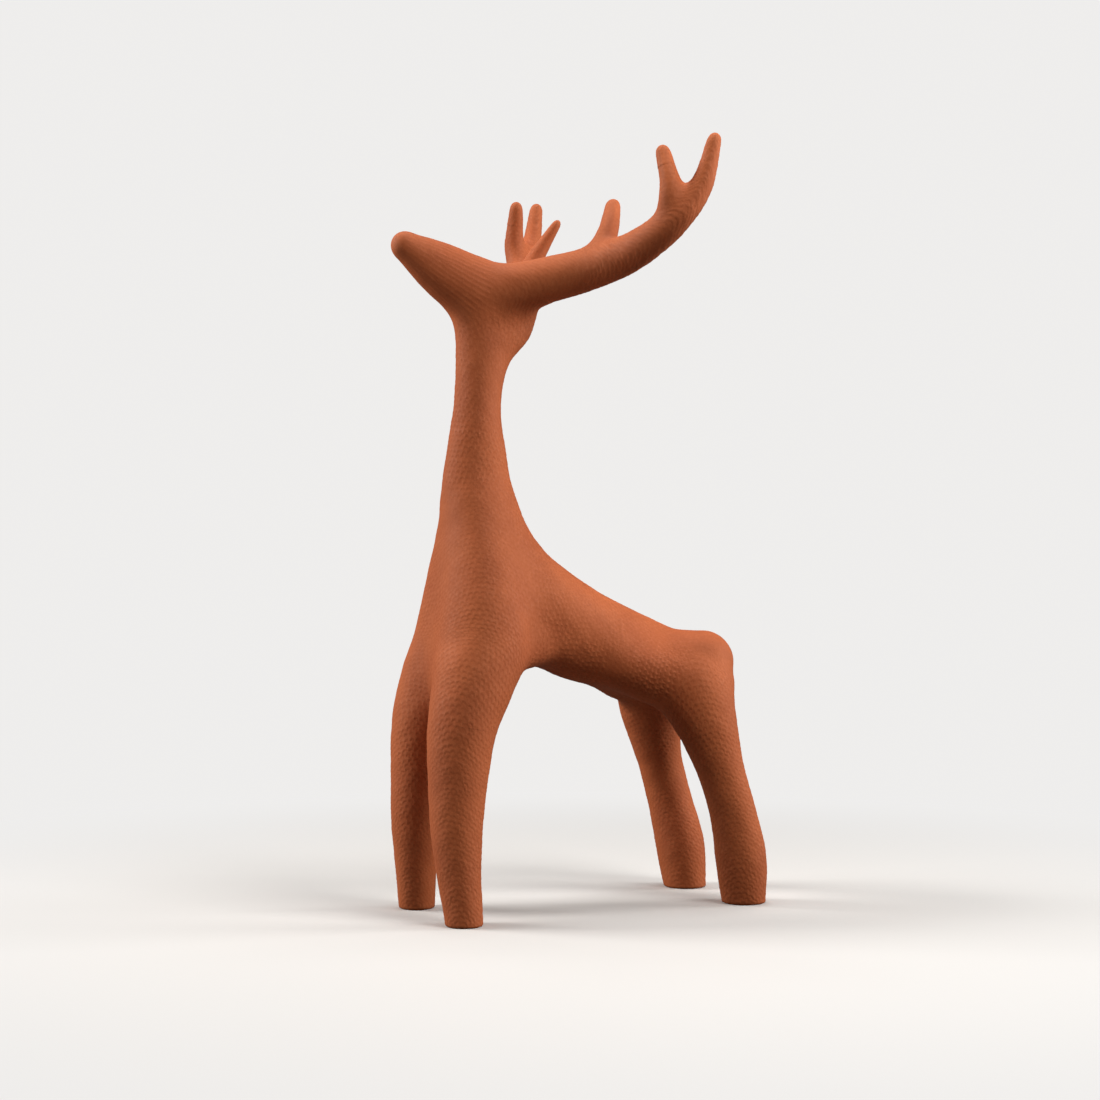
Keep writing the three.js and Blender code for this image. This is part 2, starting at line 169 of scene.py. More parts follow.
def thumb_over(clay, added, soft):
    """Joins one distance to another. The fillet is full where the two skins meet at an angle and fades
    out where they lie along each other."""
    ways = []
    for field in (clay, added):
        g = np.gradient(field, PINCH)
        length = np.sqrt(g[0] ** 2 + g[1] ** 2 + g[2] ** 2) + TINY
        ways.append([c / length for c in g])
    turn = sum(a * b for a, b in zip(*ways))
    reach = soft * np.clip(FULL_FILLET * np.sqrt(np.clip((1 - turn) / 2, 0, 1)), 0, 1) + 1e-3
    near = np.clip(reach - np.abs(clay - added), 0, None) / reach
    return np.minimum(clay, added) - near**2 * reach / 4


def rub(clay):
    """The block averaged over its neighbourhood, which takes the edge off small creases. Each pass reaches
    a little further, and together they reach as far as the thumb."""
    passes = round((THUMB / PINCH) ** 2 * 2)
    for _ in range(passes):
        for axis in range(3):
            pad = [(1, 1) if i == axis else (0, 0) for i in range(3)]
            padded = np.moveaxis(np.pad(clay, pad, mode="edge"), axis, 0)
            clay = np.moveaxis(0.25 * padded[:-2] + 0.5 * padded[1:-1] + 0.25 * padded[2:], 0, axis)
    return np.ascontiguousarray(clay)


def read_block(axes, clay, points):
    """The block's value at loose points, between its grid points."""
    place = [(points[:, i] - axes[i][0]) / PINCH for i in range(3)]
    base = [np.clip(p.astype(int), 0, n - 2) for p, n in zip(place, clay.shape)]
    part = [np.clip(p - b, 0, 1) for p, b in zip(place, base)]
    value = 0
    for corner in np.ndindex(2, 2, 2):
        weight = np.prod([p if c else 1 - p for p, c in zip(part, corner)], axis=0)
        value = value + weight * clay[tuple(b + c for b, c in zip(base, corner))]
    return value


def outward(axes, clay, points):
    """The direction out of the clay at loose points, and how steep the block is there."""
    steps = np.eye(3) * PINCH
    slope = np.stack([read_block(axes, clay, points + s) - read_block(axes, clay, points - s)
                      for s in steps], 1) / (2 * PINCH)
    steep = np.linalg.norm(slope, axis=1)[:, None] + 1e-9
    return slope / steep, steep


def skin_over(axes, clay):
    """The block's skin as points in mm and four-sided facets, with its outward directions."""
    inside = clay < 0
    corners = list(np.ndindex(2, 2, 2))
    shape = [n - 1 for n in clay.shape]
    count = sum(inside[tuple(slice(o, o + n) for o, n in zip(c, shape))].astype(np.int8)
                for c in corners)
    cells = np.argwhere((count > 0) & (count < 8))
    number = np.full(shape, -1, np.int32)
    number[tuple(cells.T)] = np.arange(len(cells))
    total, crossings = np.zeros((len(cells), 3)), np.zeros(len(cells))
    for a in corners:
        for axis in range(3):
            if a[axis]:
                continue
            b = tuple(v + (i == axis) for i, v in enumerate(a))
            fa, fb = clay[tuple((cells + a).T)], clay[tuple((cells + b).T)]
            cut = (fa < 0) != (fb < 0)
            place = np.tile(np.array(a, float), (len(cells), 1))
            place[:, axis] = fa / np.where(cut, fa - fb, 1)
            total[cut] += place[cut]
            crossings += cut
    points = (cells + total / crossings[:, None]) * PINCH + [a[0] for a in axes]
    facets = []
    for axis in range(3):
        u, v = (axis + 1) % 3, (axis + 2) % 3
        near_end, far_end = ([slice(1, n - 1) for n in clay.shape] for _ in range(2))
        near_end[axis] = slice(0, clay.shape[axis] - 1)
        far_end[axis] = slice(1, clay.shape[axis])
        start, stop = inside[tuple(near_end)], inside[tuple(far_end)]
        edge = np.argwhere(start != stop)
        leaving = start[tuple(edge.T)]
        edge = edge + [0 if i == axis else 1 for i in range(3)]
        around = []
        for du, dv in ((-1, -1), (0, -1), (0, 0), (-1, 0)):
            cell = edge.copy()
            cell[:, u] += du
            cell[:, v] += dv
            around.append(number[tuple(cell.T)])
        quad = np.stack(around, 1)
        quad[~leaving] = quad[~leaving][:, ::-1]
        facets.append(quad)
    facets = np.vstack(facets)
    for splitting in range(2):  # every facet is split once, then drawn onto the skin
        if splitting:
            points, facets = split_facets(points, facets)
        for _ in range(2):
            way, steep = outward(axes, clay, points)
            points = points - way * (read_block(axes, clay, points)[:, None] / steep).clip(-PINCH, PINCH)
    return points, facets, outward(axes, clay, points)[0]


def split_facets(points, facets):
    """Splits every four-sided facet into four."""
    pairs = np.sort(np.stack([facets, np.roll(facets, -1, 1)], 2).reshape(-1, 2), 1).astype(np.int64)
    sides, side_of = np.unique(pairs[:, 0] * len(points) + pairs[:, 1], return_inverse=True)
    middles = (points[sides // len(points)] + points[sides % len(points)]) / 2
    side_of = side_of.reshape(-1, 4) + len(points)
    centre_of = np.arange(len(facets)) + len(points) + len(middles)
    quarters = [np.stack([facets[:, i], side_of[:, i], centre_of, side_of[:, i - 1]], 1) for i in range(4)]
    return np.vstack([points, middles, points[facets].mean(1)]), np.vstack(quarters)


WAVES = 7  # waves laid over each other, each in a direction of its own


def slow_waves(points, size, seed):
    """Smooth unevenness between about -1 and 1 that repeats nowhere on the figure; size in mm."""
    draw = np.random.default_rng(seed)
    total = 0
    for _ in range(WAVES):
        way = draw.normal(size=3)
        way *= 2 * math.pi / (size * draw.uniform(0.7, 1.5) * np.linalg.norm(way))
        total = total + np.sin(points @ way + draw.uniform(0, 2 * math.pi))
    return total / (WAVES / 2)


# Behind its lip a stroke's clay rises over the first of these shares of a pitch. It falls again over the
# second, and is down at the third.
RISE, FALL, DOWN = 0.4, 0.9, 1.35
SHIFT = 0.72  # how far chance may move a stroke along the roll, in pitches
END_TURN = 1.4  # how far over a roll's rounded end its rows still get shorter, radians
FEWEST = 4  # strokes in the shortest row


def tool_rows(points, along, angle, line):
    """What the strokes of a small round tool leave: 0 at the bottom of a cut and 1 on its lip. The rows lie
    one pitch apart along the roll. They lean round it, bend along it on its flanks, and run over its rounded
    ends. Each holds a whole number of small arched strokes that overlap the row before."""
    style = line["marks"]
    run = np.arange(len(line["at"])) * line["step"]
    lean = np.interp(along / run[-1], (0, 1), style["lean"])
    row_place = along / style["pitch"] + lean * np.sin(angle)
    row_place += style["crest"] * np.sin(angle - math.radians(style["faces"])) ** 2
    row_place += slow_waves(points, 30, 3) * 0.5 + slow_waves(points, 10, 4) * 0.1  # the rows sway
    base = np.floor(row_place)
    height = np.zeros(len(points))
    settled = np.zeros(len(points), bool)
    for row in (base + 1, base, base - 1):
        radius = np.interp(row * style["pitch"], run, (line["wide"] + line["deep"]) / 2)
        over_end = np.maximum(row * style["pitch"] - run[-1], -row * style["pitch"]) / radius
        girth = 2 * math.pi * radius * np.cos(np.clip(over_end, 0, END_TURN))
        strokes = np.maximum(FEWEST, np.round(girth / style["stroke"]))
        # Each row stands half a stroke beside the one before, as in brickwork, give or take a little.
        column = angle / (2 * math.pi) * strokes + 0.5 * (row % 2) + 0.15 * np.sin(row * 5.1)
        stroke = np.round(column) % strokes
        # A number from 0 to 1 for each stroke that follows no pattern, and is the same in each run.
        chance = np.sin(row * 12.9898 + stroke * 78.233) * 43758.5453
        chance -= np.floor(chance)
        side = np.abs(column - np.round(column)) * 2  # 0 in a stroke's middle, 1 at its sides
        past_lip = row_place - row - style["arch"] * (1 - 2 * side**2)
        past_lip = past_lip + SHIFT * style["chance"] * (chance - 0.5)
        here = (past_lip >= 0) & ~settled
        cut = np.clip(past_lip / RISE, 0, 1) * np.clip((DOWN - past_lip) / FALL, 0, 1)
        cut = 1 - (1 - cut) * (1 - style["run_out"] * side**3)
        left = (1 - style["hollow"] * (1 - side**2)) * (1.05 - style["chance"] * (1 - chance))
        height = np.where(here, cut * left, height)
        settled |= here
    return height


PLACES = (0, 0.4, 1)  # the shares of a roll's length at which the depth of its marks is given
MOST_DEPTH = 0.06  # the deepest mark, as a share of the roll's radius
SHOWS = 0.24  # the depth at which a mark's painted shade and painted highlight show in full, mm
PLAIN = 0.6  # what clay that the tool has left alone counts as, between cut and lip
GIVE_WAY = 1.0  # the distance over which the marks of one roll give way to those of the next, mm
AT_ONCE = 20000  # points that are looked up together, to spare memory


def tooled(points, lines):
    """What the tool has left at each point, 0 to 1, and how far it has raised the skin there, in mm."""
    gaps, heights, depths = [], [], []
    for line in lines:
        widest = np.maximum(line["wide"], line["deep"])[:, None] + NEAR
        first, last = (line["at"] - widest).min(0), (line["at"] + widest).max(0)
        if (first > points.max(0)).any() or (last < points.min(0)).any():
            continue
        nearest = np.empty(len(points), int)
        for start in range(0, len(points), AT_ONCE):
            some = points[start:start + AT_ONCE]
            away = (line["at"] ** 2).sum(1) - 2 * some @ line["at"].T
            nearest[start:start + AT_ONCE] = np.argmin(away, axis=1)
        gap, along, angle = beside_line(line, points, nearest)
        gaps.append(gap)
        heights.append(tool_rows(points, along, angle, line))
        run = np.arange(len(line["at"])) * line["step"]
        depth, underside = (np.interp(along / run[-1], PLACES, line["marks"][k])
                            for k in ("depth", "underside"))
        radius = np.interp(along, run, (line["wide"] + line["deep"]) / 2)
        over_end = np.maximum(along - run[-1], -along).clip(0) / radius
        depth = np.minimum(depth, MOST_DEPTH * radius) * np.clip(1 - over_end, 0, 1)
        depths.append(depth * (1 + underside * np.clip(-np.sin(angle), 0, 1)))
    share = np.exp(-(np.array(gaps) - np.min(gaps, axis=0)) / GIVE_WAY)
    share /= share.sum(0)
    height, depth = (share * heights).sum(0), (share * np.array(depths)).sum(0)
    uneven = 0.8 + 0.3 * slow_waves(points, 30, 5)
    # How strongly the painted shade in a cut and the painted highlight on a lip show: in full where the mark
    # is deep.
    seen = np.clip(depth / SHOWS, 0, 1) * uneven
    raised = (share * heights * np.array(depths)).sum(0) * uneven - 0.5 * depth
    return PLAIN + (height - PLAIN) * seen, raised


MARGIN = 2.5  # how far a member's block of clay reaches past its solid, mm
RIM = 0.9  # rounding of a sole's edge, mm
SHRINK = 0.06  # how far the skin lies inside the rolls once it is tooled, mm
SOLE_EDGE = 1.5  # the height above the ground over which the marks fade in, mm
ON_GROUND = 0.02  # the share of that height below which the sole is flat


def clay_piece(name, node, lines, cuts, low=None, high=None):
    """One member of the figure: the joined clay inside its own box, tooled, and cut square at its joints.
    A cut is a place, the way that is cut off, and how far round the place the knife reaches."""
    corner_low, corner_high = (np.array(c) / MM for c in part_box(node))
    low = corner_low - MARGIN if low is None else np.array(low, float)
    high = corner_high + MARGIN if high is None else np.array(high, float)
    axes, clay = clay_block(lines, low, high)
    ground = -axes[2][None, None, :]
    near = np.clip(RIM - np.abs(clay - ground), 0, None) / RIM
    clay = np.maximum(clay, ground) + near**2 * RIM / 4
    points, facets, out = skin_over(axes, clay)
    marks, raised = tooled(points, lines)
    hand = 0.13 * slow_waves(points, 24, 1) + 0.07 * slow_waves(points, 9, 2)  # no hand-rolled skin is even
    fade = np.clip(points[:, 2] / SOLE_EDGE, 0, 1)
    points = points + out * ((raised + hand - SHRINK) * fade)[:, None]
    points[:, 2] = np.where(fade <= ON_GROUND, 0, points[:, 2])
    mesh = bpy.data.meshes.new(name)
    mesh.vertices.add(len(points))
    mesh.vertices.foreach_set("co", (points * MM).ravel())
    mesh.loops.add(facets.size)
    mesh.loops.foreach_set("vertex_index", facets.ravel())
    mesh.polygons.add(len(facets))
    mesh.polygons.foreach_set("loop_start", np.arange(len(facets)) * 4)
    mesh.update(calc_edges=True)
    mesh.validate()
    outwards = np.empty(len(points) * 3)  # kept from before the cut, so that the skin runs on over a joint
    mesh.vertex_normals.foreach_get("vector", outwards)
    mesh.attributes.new("skin_way", "FLOAT_VECTOR", "POINT").data.foreach_set("vector", outwards)
    mesh.attributes.new("tool_mark", "FLOAT", "POINT").data.foreach_set("value", marks.astype(np.float32))
    cut_square(mesh, cuts)
    piece = bpy.data.objects.new(name, mesh)
    bpy.context.scene.collection.objects.link(piece)
    return piece


ON_CUT = 2e-6  # how near to a cut a point counts as lying on it, m
OFFCUT = 1.1  # how far offcuts are cleared away, as a share of the knife's reach


def cut_square(mesh, cuts):
    """Slices a member at its joints, throws the offcuts away and closes each cut with a flat face."""
    work = bmesh.new()
    work.from_mesh(mesh)
    is_cut = work.faces.layers.int.new("cut_face")
    for place, way, reach in cuts:
        place, way = Vector(place) * MM, Vector(way).normalized()
        in_reach = [f for f in work.faces if (f.calc_center_median() - place).length < reach * MM]
        parts = set(in_reach)
        for f in in_reach:
            parts.update(f.edges)
            parts.update(f.verts)
        bmesh.ops.bisect_plane(work, geom=list(parts), dist=1e-7, plane_co=place, plane_no=way)
        waste = [f for f in work.faces if (f.calc_center_median() - place).length < OFFCUT * reach * MM
                 and (f.calc_center_median() - place).dot(way) > 0]
        bmesh.ops.delete(work, geom=waste, context="FACES")
        rim = [e for e in work.edges if e.is_boundary and abs((e.verts[0].co - place).dot(way)) < ON_CUT
               and abs((e.verts[1].co - place).dot(way)) < ON_CUT
               and (e.verts[0].co - place).length < reach * MM]
        for f in bmesh.ops.contextual_create(work, geom=rim)["faces"]:
            f[is_cut] = 1
            if f.normal.dot(way) < 0:
                f.normal_flip()
    work.normal_update()
    work.to_mesh(mesh)
    work.free()
    ways = np.empty(len(mesh.vertices) * 3)
    mesh.attributes["skin_way"].data.foreach_get("vector", ways)
    ways = ways.reshape(-1, 3)
    ways /= np.linalg.norm(ways, axis=1)[:, None] + 1e-9
    corner = np.empty(len(mesh.loops), int)
    mesh.loops.foreach_get("vertex_index", corner)
    normals = ways[corner]
    for p in mesh.polygons:
        if mesh.attributes["cut_face"].data[p.index].value:
            normals[p.loop_start:p.loop_start + p.loop_total] = p.normal
    mesh.normals_split_custom_set(normals.tolist())
    mesh.attributes.remove(mesh.attributes["skin_way"])
    mesh.attributes.remove(mesh.attributes["cut_face"])


def joint_at(line, station):
    """Place and direction of the joint that lies at a station of a roll's line."""
    at, way = (np.array([np.interp(station, line["station"], c) for c in line[k].T])
               for k in ("at", "along"))
    return at, way / np.linalg.norm(way)


SIDEWAYS, UPRIGHT = (1, 0, 0), (0, 0, 1)

# The tool's marks. Rows stand a pitch apart, and a stroke is so wide along its row, both in mm. A stroke's
# lip is arched by a share of the pitch, its middle is hollow, its sides run out, and chance makes strokes
# unlike each other. Rows lean round the roll, at its start and its end, and reach a crest on the flank that
# faces an angle in degrees. The depth in mm, and how much deeper the underside is, are given at PLACES.
body_marks = {"pitch": 1.8, "stroke": 2.3, "arch": 0.25, "hollow": 0.35, "run_out": 0.7, "chance": 0.5,
              "lean": (-4, 4), "crest": 0, "faces": 0, "underside": (0.4, 0.7, 0),
              "depth": (0.2, 0.27, 0.22)}
hip_marks = dict(body_marks, lean=(1.5, 1.5))
leg_marks = dict(body_marks, pitch=2.0, stroke=2.5, hollow=0.3, lean=(0, 0), crest=4.2, faces=-35,
                 arch=0.18, chance=0.38, underside=(0, 0, 0), depth=(0.27, 0.26, 0.18))

trunk = clay_line([
    (0, 56, 96.2, 18, 10.3), (0, 48.5, 96.4, 19.5, 10.8), (0, 32.5, 99.5, 17, 14.5),
    (0, 12.5, 104.9, 16.5, 17.4), (0, -6.5, 111.8, 17.5, 19.4), (0, -25.5, 124, 18, 19.6),
    (0, -38.6, 143, 15.5, 15.7), (0, -46, 162, 13, 15.2), (0, -47.1, 179, 10.8, 12.5),
    (0, -46.6, 200, 9.4, 9.5), (0, -44.3, 219, 9.4, 11.1), (0, -40.5, 233, 10.3, 16.9),
    (0, -38.5, 242, 9.2, 18.2)], SIDEWAYS, 0, body_marks, dome=0.6)
left_hip, right_hip = (15.5, 47.7, 98.8, 12.2), (-15.5, 47.7, 99.3, 12.2)
fore_legs, hind_legs, haunches = [], [], []
for side in (1, -1):
    fore_legs.append(clay_line([
        (side * 24.3, -62, -6, 6.8), (side * 23.5, -62.5, 0, 7.2), (side * 21.3, -63.9, 22, 8.8),
        (side * 19.5, -64, 45, 10.8), (side * 18.3, -61.3, 74, 13.4), (side * 15.8, -55.5, 92, 16),
        (side * 12, -49.9, 106, 17.8), (side * 9, -48, 123, 17), (side * 4.3, -47.8, 147, 13.8),
        (side * 2, -48.3, 162, 11.2), (side * 0.5, -48, 181, 4)], SIDEWAYS, 14, leg_marks))
    hind_legs.append(clay_line([
        (side * 23, 62.7, -6, 8.4), (side * 23.5, 62.2, 0, 9), (side * 24.6, 60.1, 18, 10.4),
        (side * 25.6, 55.5, 38, 9.5), (side * 25, 50.6, 54, 9.5), (side * 23, 46.1, 70, 12),
        (side * 20.5, 43.8, 80, 14.1), (side * 18, 43.5, 90, 14.4), (side * 16.3, 45.9, 98.5, 12.2)],
        SIDEWAYS, 11, leg_marks))
    haunches.append(clay_line([
        left_hip if side > 0 else right_hip, (side * 12, 31.5, 93.4, 13.2), (side * 8, 13.8, 98.7, 12)],
        UPRIGHT, 10, hip_marks))
rump = clay_line([left_hip, (0, 51, 94.2, 11.6), right_hip], UPRIGHT, 10, hip_marks)
# Small rolls behind the fore legs that fill the corner below the barrel.
gussets = [clay_line([(side * 12, -42, 106, 8), (side * 9, -31, 104.5, 8.5), (side * 7, -18, 106.5, 7.5)],
                     UPRIGHT, 10, hip_marks) for side in (1, -1)]
body_clay = [trunk, *haunches, rump, *fore_legs, *gussets, *hind_legs]

# The joints, each at a station of its roll.
neck_foot, head_foot = joint_at(trunk, 7), joint_at(trunk, 10)
fore_joints = [joint_at(leg, 4) for leg in fore_legs]
hind_joints = [joint_at(leg, 5) for leg in hind_legs]

torso_low, torso_high = (np.array(c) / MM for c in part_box("torso"))
WHOLE = 60  # a reach of the knife that takes in all of a slender member, mm
torso = clay_piece("torso_skin", "torso", body_clay, [
    (*neck_foot, WHOLE), *((at, -way, 19) for at, way in fore_joints),
    *((at, -way, 16.5) for at, way in hind_joints)],
    low=torso_low - [3, 3, 3.2], high=torso_high + [3, 3, 3])


def new_group(name, inputs, outputs):
    """A shader node group with named inputs (name, kind, value) and outputs (name, kind)."""
    group = bpy.data.node_groups.new(name, "ShaderNodeTree")
    for label, kind, value in inputs:
        socket = group.interface.new_socket(label, in_out="INPUT", socket_type=kind)
        socket.default_value = value
    for label, kind in outputs:
        group.interface.new_socket(label, in_out="OUTPUT", socket_type=kind)
    return group, group.nodes.new("NodeGroupInput"), group.nodes.new("NodeGroupOutput")


def add_node(tree, kind, links=(), **settings):
    """A node with its settings; links are (input, socket or value)."""
    node = tree.nodes.new(kind)
    for key, value in settings.items():
        setattr(node, key, value)
    for label, value in links:
        if isinstance(value, bpy.types.NodeSocket):
            tree.links.new(value, node.inputs[label])
        else:
            node.inputs[label].default_value = value
    return node


def stretched(tree, value, low, high, least, most):
    """A value from low to high, stretched to run from least to most."""
    return add_node(tree, "ShaderNodeMapRange", [("Value", value), ("From Min", low), ("From Max", high),
                    ("To Min", least), ("To Max", most)]).outputs[0]


def times(tree, one, other):
    """One value multiplied by another."""
    return add_node(tree, "ShaderNodeMath", [(0, one), (1, other)], operation="MULTIPLY").outputs[0]


def cloudy(tree, place, scale, detail):
    """Soft clouds between 0 and 1; scale is how many there are to the metre."""
    return add_node(tree, "ShaderNodeTexNoise", [("Vector", place), ("Scale", scale),
                    ("Detail", detail)]).outputs["Fac"]


def dabbed(tree, amount, under, over):
    """One colour dabbed over another by an amount."""
    return add_node(tree, "ShaderNodeMix", [("Factor", amount), (6, under), (7, over)],
                    data_type="RGBA").outputs[2]


def fired_clay():
    """Colour and roughness of unglazed fired clay. Its colour drifts a little with the fire. Painted shade
    darkens the cuts of the tool, unevenly, and a painted highlight lightens their lips. Dust and grog specks
    lie over all."""
    tree, given, result = new_group("fired_clay", [
        ("Clay", "NodeSocketColor", (0.5, 0.2, 0.1, 1)), ("Dust And Highlight", "NodeSocketColor", (0.6, 0.3, 0.2, 1)),
        ("Dark And Shade", "NodeSocketColor", (0.3, 0.1, 0.05, 1)), ("Highlight Amount", "NodeSocketFloat", 0.4)],
        [("Colour", "NodeSocketColor"), ("Roughness", "NodeSocketFloat")])
    place = add_node(tree, "ShaderNodeTexCoord").outputs["Object"]
    mark = add_node(tree, "ShaderNodeAttribute", attribute_name="tool_mark").outputs["Fac"]
    drift = stretched(tree, cloudy(tree, place, 34, 3), 0.35, 0.65, 0, 0.34)
    colour = dabbed(tree, drift, given.outputs["Clay"], given.outputs["Dark And Shade"])
    # Painted shade: the cuts of the tool are darkened towards the dark colour, more in some places than
    # others.
    cuts = stretched(tree, mark, 0.0, 0.55, 0.32, 0.0)
    shade_unevenness = stretched(tree, cloudy(tree, place, 85, 2), 0.35, 0.65, 0.4, 1.25)
    colour = dabbed(tree, times(tree, cuts, shade_unevenness), colour, given.outputs["Dark And Shade"])
    # Painted highlight: the lips of the marks are lightened towards the pale colour.
    painted_lip_highlight = stretched(tree, mark, 0.55, 1.0, 0, 1)
    colour = dabbed(tree, times(tree, painted_lip_highlight, given.outputs["Highlight Amount"]), colour, given.outputs["Dust And Highlight"])
    dust = stretched(tree, cloudy(tree, place, 900, 3), 0.5, 0.75, 0, 0.3)
    colour = dabbed(tree, dust, colour, given.outputs["Dust And Highlight"])
    grog = add_node(tree, "ShaderNodeTexVoronoi", [("Vector", place), ("Scale", 480)]).outputs["Distance"]
    grog = stretched(tree, grog, 0.08, 0.17, 0.35, 0)
    colour = dabbed(tree, grog, colour, given.outputs["Dark And Shade"])
    rough = stretched(tree, mark, 0, 1, 0.85, 0.62)
    tree.links.new(colour, result.inputs["Colour"])
    tree.links.new(rough, result.inputs["Roughness"])
    return tree


def dry_grain():
    """Height of the clay's dry grain and of the finest scratches left by the tool."""
    tree, given, result = new_group("dry_grain", [("Grain", "NodeSocketFloat", 1.0)],
                                    [("Height", "NodeSocketFloat")])
    place = add_node(tree, "ShaderNodeTexCoord").outputs["Object"]
    fine = cloudy(tree, place, 1500, 2)
    broad = cloudy(tree, place, 420, 2)
    both = add_node(tree, "ShaderNodeMath", [(0, fine), (1, broad)], operation="ADD").outputs[0]
    tree.links.new(times(tree, both, given.outputs["Grain"]), result.inputs["Height"])
    return tree


clay_colours, clay_grain = fired_clay(), dry_grain()


def terracotta(name, clay, dust_and_highlight, deep, highlight_amount, grain):
    """Unglazed fired clay: its own colour, a pale one for dust and for the painted highlight on the lips of
    its marks, and a dark one for its darker tone and the painted shade deep in a cut. It shines little, and
    is rough to the touch."""
    material = bpy.data.materials.new(name)
    material.use_nodes = True
    tree = material.node_tree
    shader = tree.nodes["Principled BSDF"]
    look = add_node(tree, "ShaderNodeGroup", node_tree=clay_colours)
    for label, value in (("Clay", clay), ("Dust And Highlight", dust_and_highlight), ("Dark And Shade", deep)):
        look.inputs[label].default_value = (*value, 1)
    look.inputs["Highlight Amount"].default_value = highlight_amount
    touch = add_node(tree, "ShaderNodeGroup", node_tree=clay_grain)
    touch.inputs["Grain"].default_value = grain
    bump = add_node(tree, "ShaderNodeBump", [("Height", touch.outputs["Height"]), ("Strength", 0.5),
                    ("Distance", 0.00012)])
    tree.links.new(look.outputs["Colour"], shader.inputs["Base Color"])
    tree.links.new(look.outputs["Roughness"], shader.inputs["Roughness"])
    tree.links.new(bump.outputs["Normal"], shader.inputs["Normal"])
    shader.inputs["Specular IOR Level"].default_value = 0.36
    return material


# Its darkest colour is both the clay's darker tone and the painted shade in the tool's cuts; its palest is
# both dust and the painted highlight on their lips.
body_terracotta = terracotta(
    "body_terracotta", clay=(0.51, 0.128, 0.038), dust_and_highlight=(0.61, 0.180, 0.066), deep=(0.29, 0.053, 0.013),
    highlight_amount=0.35, grain=1)


def finish_piece(piece, node, material):
    """Fires the piece: its material, what it stands for and what it rides on."""
    piece.data.materials.append(material)
    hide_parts(node)
    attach(piece, "root")


finish_piece(torso, "torso", body_terracotta)

# Neck: a slender column of the same clay that tapers from the chest up to the throat. It is luted on the
# chest with a tenon and carries the head in the same way, and both joints are smoothed over.

neck = clay_piece("neck_skin", "neck", body_clay, [
    (neck_foot[0], -neck_foot[1], WHOLE), (*head_foot, WHOLE)], low=(-20, -62, 155), high=(20, -18, 224))
finish_piece(neck, "neck", body_terracotta)

# Legs: four rolls of the same clay, the fore legs straight and tapering, the hind legs with a gentle S.
# Each is luted with a tenon under its stub on the torso, smoothed over, and stands on a flat round sole.

for end, joints in (("front", fore_joints), ("hind", hind_joints)):
    for side, (at, way) in zip(("left", "right"), joints):
        node = f"{end}_{side}_leg"
        low, high = (np.array(c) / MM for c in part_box(node))
        leg = clay_piece(f"{node}_skin", node, body_clay, [(at, way, WHOLE)],
                         low=low - [3, 3, 2], high=(*(high[:2] + 3), at[2] + 8))
        finish_piece(leg, node, body_terracotta)

# Head: an upturned muzzle with a round end, of the same clay, whose skull runs back and divides into the two
# stubs for the antlers. It is luted on the neck with a tenon. On the muzzle the tool was drawn lengthwise.

muzzle_marks = dict(body_marks, pitch=11, stroke=2.0, arch=0.1, hollow=0.7, lean=(0, 0),
                    underside=(0, 0, 0), depth=(0.18, 0.22, 0.14))
beam_marks = dict(leg_marks, pitch=1.9, stroke=5, arch=0.2, hollow=0.15, run_out=0.45, chance=0.45,
                  crest=4.6, faces=20, depth=(0.08, 0.25, 0.4))
tine_marks = dict(leg_marks, pitch=1.9, stroke=2.4, crest=1, depth=(0.14, 0.16, 0.12))
muzzle = clay_line([
    (0, -38.5, 240.9, 11, 11), (0, -46.8, 245.2, 12.5, 13.8), (0, -55.9, 250, 10.5, 12.1),
    (0, -66.9, 255.8, 8.2, 9.5), (0, -77.5, 261.4, 5.8, 5.8)], SIDEWAYS, 9, muzzle_marks)
# The right brow tine is slimmer and longer than the left one, and the right fork tine taller.
beams, brow_tines, fork_tines = [], [], []
for side, brow_half, brow_tip, fork_height in ((1, 4.2, (0.6, 279.3, 3.2), 293.3),
                                               (-1, 3.8, (2, 281.5, 2), 294.6)):
    beams.append(clay_line([
        (side * 2, -42, 244, 10.9), (side * 14.5, -26.7, 248.5, 9.4), (side * 27.5, -13.5, 252.5, 8.6),
        (side * 41.5, -5.4, 255.9, 7.9), (side * 55.5, -0.6, 260.2, 6.9), (side * 67.1, 5.2, 268, 6.1),
        (side * 73.4, 12.7, 280, 4.4), (side * 76.5, 16.8, 297.3, 2.9)],
        (-0.6 * side, 0.75, 0), 9, beam_marks))
    brow_tines.append(clay_line([
        (side * 32.8, -12.4, 254, 5.7), (side * 32.2, -5.5, 266.6, brow_half),
        (side * 25.8, *brow_tip)], SIDEWAYS, 4.5, tine_marks))
    fork_tines.append(clay_line([
        (side * 63.6, 3.2, 265.5, 5), (side * 68.4, 2.2, 278.1, 4.4),
        (side * 64.3, 1.1, fork_height, 2.9)], SIDEWAYS, 4, tine_marks))
head_clay = [trunk, muzzle, *beams, *brow_tines, *fork_tines]
beam_joints = [joint_at(beam, 1.15) for beam in beams]
head = clay_piece("head_skin", "head", head_clay, [
    (head_foot[0], -head_foot[1], WHOLE), *((at, way, WHOLE) for at, way in beam_joints)],
    low=(-27, -82, 205), high=(27, -6, 272))
finish_piece(head, "head", body_terracotta)

# Antlers: each beam is a roll of the same clay that sweeps out, back and up to a round tip, luted to its
# stub on the head with a tenon. It carries two prongs, a brow tine and a fork tine, luted on in the same way.

